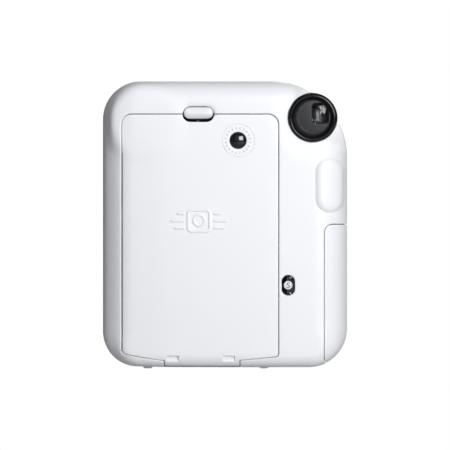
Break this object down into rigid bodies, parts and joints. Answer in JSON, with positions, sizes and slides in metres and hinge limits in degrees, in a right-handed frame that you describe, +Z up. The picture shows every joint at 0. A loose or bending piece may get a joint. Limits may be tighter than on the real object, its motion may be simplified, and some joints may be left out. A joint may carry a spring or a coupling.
{
  "type": "instant camera",
  "caption": "White instant film camera with a twist-out lens, a bottom-hinged film door, a side battery door, a round eyepiece, a flash and a film slot in the top.",
  "frame": {"origin": "bottom centre of the overall box: on the floor under the feet, midway between the body's sides and between the eyepiece's rear rim and the lens barrel's front", "axes": "+X to the user's right, +Y forward along the lens axis, +Z up"},
  "size_m": [0.104, 0.0666, 0.122],
  "materials": {
    "shell": "satin moulded white",
    "white_gloss": "polished white",
    "steel": "bright steel",
    "dark_window": "polished dark tinted",
    "black_plastic": "fine matt black",
    "foam": "foam and rubber strip",
    "clear": "clear optical",
    "dial": "black disc with white marks",
    "cell": "printed sleeve",
    "gear": "natural nylon",
    "brass": "turned",
    "motor": "zinc plated",
    "blade": "black film",
    "chrome": "polished",
    "mirror": "convex mirror",
    "board": "circuit board",
    "chips": "black packages",
    "capacitor": "black sleeve"
  },
  "bodies": {
    "camera_body": {"rear_cover": "shell", "front_cover": "shell", "door_hinge_pin": "steel", "eyepiece_bezel": "black_plastic", "eyepiece_lens": "clear", "viewfinder_tube": "black_plastic", "viewfinder_front_bezel": "black_plastic", "viewfinder_front_lens": "clear", "counter_window": "clear", "battery_box": "black_plastic", "battery_cells": "cell", "battery_contacts": "steel", "film_chamber": "black_plastic", "light_tunnel": "black_plastic", "roller_bracket": "steel", "drive_motor": "motor", "exit_slot_bezel": "black_plastic", "exit_light_seal": "foam", "barrel_guide": "black_plastic", "shutter_button_ring": "chrome", "main_board": "board", "board_parts": "chips", "flash_window": "clear", "flash_reflector": "chrome", "flash_tube": "clear", "flash_capacitor": "capacitor", "flash_board": "board", "sensor_windows": "dark_window", "feet": "white_gloss", "case_screws": "steel", "strap_bars": "steel"},
    "film_door_body": {"film_door": "shell", "film_window": "dark_window", "pressure_springs": "steel", "door_light_seal": "foam"},
    "latch": {"latch_button": "white_gloss", "latch_spring": "steel"},
    "battery_door_body": {"battery_door": "shell", "battery_door_pin": "steel"},
    "turning_ring": {"lens_ring": "white_gloss"},
    "barrel": {"lens_barrel": "black_plastic", "barrel_face": "chrome", "front_lens_cell": "black_plastic", "front_lens": "clear", "rear_lens_cell": "black_plastic", "rear_lens": "clear", "shutter_plate": "blade", "shutter_solenoid": "motor", "selfie_mirror": "mirror"},
    "blade_a": {"shutter_blade_a": "blade"},
    "blade_b": {"shutter_blade_b": "blade"},
    "parallax": {"parallax_frame": "black_plastic"},
    "release": {"shutter_button": "chrome", "shutter_button_spring": "steel"},
    "dial": {"counter_dial": "dial"},
    "rear_roller": {"roller_rear": "steel"},
    "front_roller": {"roller_front": "steel"},
    "idler": {"idler_gear": "gear"},
    "pinion": {"motor_pinion": "brass"},
    "claw": {"film_claw": "steel"}
  },
  "joints": [
    {"name": "film_door_hinge", "type": "hinge", "parent": "camera_body", "child": "film_door_body", "pos_m": [-0.0097, -0.0291, 0.0034], "axis": [1, 0, 0], "range_deg": [0, 95]},
    {"name": "latch_slide", "type": "slide", "parent": "film_door_body", "child": "latch", "axis": [0, 0, -1], "range_m": [0, 0.0011], "stiffness_N_per_m": 300, "springref_m": -0.003, "deforming": ["latch_spring"]},
    {"name": "battery_door_hinge", "type": "hinge", "parent": "camera_body", "child": "battery_door_body", "pos_m": [0.0508, 0.001, 0.038], "axis": [0, 0, 1], "range_deg": [0, 95]},
    {"name": "lens_ring_turn", "type": "hinge", "parent": "camera_body", "child": "turning_ring", "pos_m": [-0.0108, 0.025, 0.05], "axis": [0, 1, 0], "range_deg": [0, 90]},
    {"name": "barrel_slide", "type": "slide", "parent": "camera_body", "child": "barrel", "axis": [0, 1, 0], "range_m": [0, 0.014]},
    {"name": "parallax_slide", "type": "slide", "parent": "camera_body", "child": "parallax", "axis": [0, 0, -1], "range_m": [0, 0.0011]},
    {"name": "shutter_button_press", "type": "slide", "parent": "camera_body", "child": "release", "axis": [0, -1, 0], "range_m": [0, 0.0018], "stiffness_N_per_m": 400, "springref_m": -0.003, "deforming": ["shutter_button_spring"]},
    {"name": "blade_a_turn", "type": "hinge", "parent": "barrel", "child": "blade_a", "pos_m": [-0.0108, 0.0228, 0.039], "axis": [0, 1, 0], "range_deg": [0, 38]},
    {"name": "blade_b_turn", "type": "hinge", "parent": "barrel", "child": "blade_b", "pos_m": [-0.0108, 0.0233, 0.061], "axis": [0, 1, 0], "range_deg": [0, 38]},
    {"name": "counter_dial_turn", "type": "hinge", "parent": "camera_body", "child": "dial", "pos_m": [0.0331, -0.0292, 0.0354], "axis": [0, 1, 0], "range_deg": [0, 300]},
    {"name": "rear_roller_turn", "type": "hinge", "parent": "camera_body", "child": "rear_roller", "pos_m": [-0.01075, -0.02, 0.11], "axis": [1, 0, 0], "continuous": true},
    {"name": "front_roller_turn", "type": "hinge", "parent": "camera_body", "child": "front_roller", "pos_m": [-0.01075, -0.014, 0.11], "axis": [1, 0, 0], "continuous": true},
    {"name": "idler_gear_turn", "type": "hinge", "parent": "camera_body", "child": "idler", "pos_m": [-0.045, -0.0167, 0.09909], "axis": [1, 0, 0], "continuous": true},
    {"name": "motor_pinion_turn", "type": "hinge", "parent": "camera_body", "child": "pinion", "pos_m": [-0.045, -0.0065, 0.094], "axis": [1, 0, 0], "continuous": true},
    {"name": "film_claw_slide", "type": "slide", "parent": "camera_body", "child": "claw", "axis": [0, 0, 1], "range_m": [0, 0.008]}
  ],
  "couplings": [
    {"joint": "barrel_slide", "follows": "lens_ring_turn", "m_per_rad": 0.0089126},
    {"joint": "parallax_slide", "follows": "lens_ring_turn", "m_per_rad": 0.0007002},
    {"joint": "blade_b_turn", "follows": "blade_a_turn", "ratio": 1},
    {"joint": "front_roller_turn", "follows": "rear_roller_turn", "ratio": -1},
    {"joint": "idler_gear_turn", "follows": "rear_roller_turn", "ratio": -0.35714},
    {"joint": "motor_pinion_turn", "follows": "rear_roller_turn", "ratio": 1}
  ]
}
